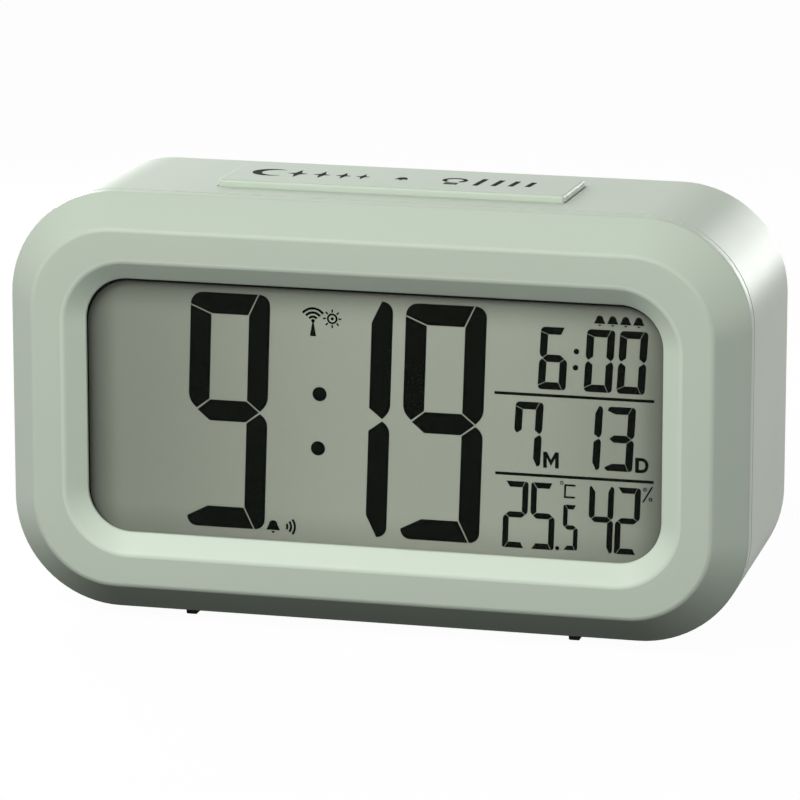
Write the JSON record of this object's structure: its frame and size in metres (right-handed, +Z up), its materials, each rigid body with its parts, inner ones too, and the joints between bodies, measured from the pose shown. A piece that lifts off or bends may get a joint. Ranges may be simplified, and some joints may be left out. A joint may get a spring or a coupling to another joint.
{
  "type": "radio controlled alarm clock",
  "caption": "Bedside alarm clock with a chamfered bezel, a large liquid crystal display, a snooze bar on top, setting buttons and a battery door behind.",
  "frame": {"origin": "middle of the footprint, on the surface that the four feet stand on", "axes": "+X to the right seen from the front, +Y from the display towards the back, +Z up"},
  "size_m": [0.1342, 0.0474, 0.0791],
  "materials": {
    "sage_shell": "satin moulded plastic in a pale sage green",
    "button_plastic": "satin moulded plastic, a shade deeper than the case",
    "clear_pane": "clear polished sheet, see-through",
    "lcd_glass": "grey-green reflective liquid crystal glass with near-black figures",
    "white_plastic": "plain white moulded plastic",
    "guide_acrylic": "clear acrylic with a faint milky back",
    "circuit_board": "green lacquered board",
    "black_plastic": "black moulded plastic",
    "connector_rubber": "soft striped rubber",
    "foot_rubber": "dark soft rubber",
    "ferrite": "dark grey sintered ceramic",
    "copper_wire": "lacquered copper winding",
    "steel": "plated steel",
    "nickel_plate": "nickel-plated spring steel",
    "cell_wrap": "printed shrink sleeve, unmarked"
  },
  "bodies": {
    "case": {"aerial_coil": "copper_wire", "alarm_button_switch": "black_plastic", "alarm_switch_body": "steel", "backlight_board": "circuit_board", "battery_1": "cell_wrap", "battery_2": "cell_wrap", "battery_3": "cell_wrap", "button_board": "circuit_board", "button_board_screw_left": "steel", "button_board_screw_right": "steel", "buzzer": "black_plastic", "carrier_screw_lower_left": "steel", "carrier_screw_lower_right": "steel", "carrier_screw_upper_left": "steel", "carrier_screw_upper_right": "steel", "case_screw_lower_left": "steel", "case_screw_lower_right": "steel", "case_screw_upper_left": "steel", "case_screw_upper_right": "steel", "climate_sensor": "white_plastic", "clock_crystal": "steel", "contact_link_1": "nickel_plate", "contact_link_2": "nickel_plate", "contact_negative": "nickel_plate", "contact_positive": "nickel_plate", "controller_chip": "black_plastic", "display_carrier": "white_plastic", "display_window": "clear_pane", "down_button_switch": "black_plastic", "ferrite_rod": "ferrite", "foot_front_left": "foot_rubber", "foot_front_right": "foot_rubber", "foot_rear_left": "foot_rubber", "foot_rear_right": "foot_rubber", "front_bezel": "sage_shell", "lcd_panel": "lcd_glass", "light_guide": "guide_acrylic", "main_board": "circuit_board", "main_board_screw_left": "steel", "main_board_screw_right": "steel", "mode_button_switch": "black_plastic", "radio_board": "circuit_board", "rear_housing": "sage_shell", "rubber_connector": "connector_rubber", "set_button_switch": "black_plastic", "snooze_board": "circuit_board", "snooze_switch_left": "black_plastic", "snooze_switch_right": "black_plastic", "up_button_switch": "black_plastic", "wave_button_switch": "black_plastic"},
    "alarm_button": {"alarm_button": "button_plastic"},
    "alarm_switch_knob": {"alarm_switch_knob": "black_plastic"},
    "battery_door": {"battery_door": "sage_shell"},
    "down_button": {"down_button": "button_plastic"},
    "mode_button": {"mode_button": "button_plastic"},
    "set_button": {"set_button": "button_plastic"},
    "snooze_bar": {"snooze_bar": "sage_shell"},
    "up_button": {"up_button": "button_plastic"},
    "wave_button": {"wave_button": "button_plastic"}
  },
  "joints": [
    {"name": "snooze_press", "type": "slide", "parent": "case", "child": "snooze_bar", "axis": [0, 0, -1], "range_m": [0, 0.0008], "stiffness_N_per_m": 600, "springref_m": -0.001},
    {"name": "set_press", "type": "slide", "parent": "case", "child": "set_button", "axis": [0, -1, 0], "range_m": [0, 0.0006], "stiffness_N_per_m": 500, "springref_m": -0.0005},
    {"name": "mode_press", "type": "slide", "parent": "case", "child": "mode_button", "axis": [0, -1, 0], "range_m": [0, 0.0006], "stiffness_N_per_m": 500, "springref_m": -0.0005},
    {"name": "up_press", "type": "slide", "parent": "case", "child": "up_button", "axis": [0, -1, 0], "range_m": [0, 0.0006], "stiffness_N_per_m": 500, "springref_m": -0.0005},
    {"name": "down_press", "type": "slide", "parent": "case", "child": "down_button", "axis": [0, -1, 0], "range_m": [0, 0.0006], "stiffness_N_per_m": 500, "springref_m": -0.0005},
    {"name": "alarm_press", "type": "slide", "parent": "case", "child": "alarm_button", "axis": [0, -1, 0], "range_m": [0, 0.0006], "stiffness_N_per_m": 500, "springref_m": -0.0005},
    {"name": "wave_press", "type": "slide", "parent": "case", "child": "wave_button", "axis": [0, -1, 0], "range_m": [0, 0.0006], "stiffness_N_per_m": 500, "springref_m": -0.0005},
    {"name": "alarm_switch_slide", "type": "slide", "parent": "case", "child": "alarm_switch_knob", "axis": [1, 0, 0], "range_m": [0, 0.003]},
    {"name": "battery_door_hinge", "type": "hinge", "parent": "case", "child": "battery_door", "pos_m": [0, 0.0228, 0.00835], "axis": [-1, 0, 0], "range_deg": [0, 80]}
  ]
}
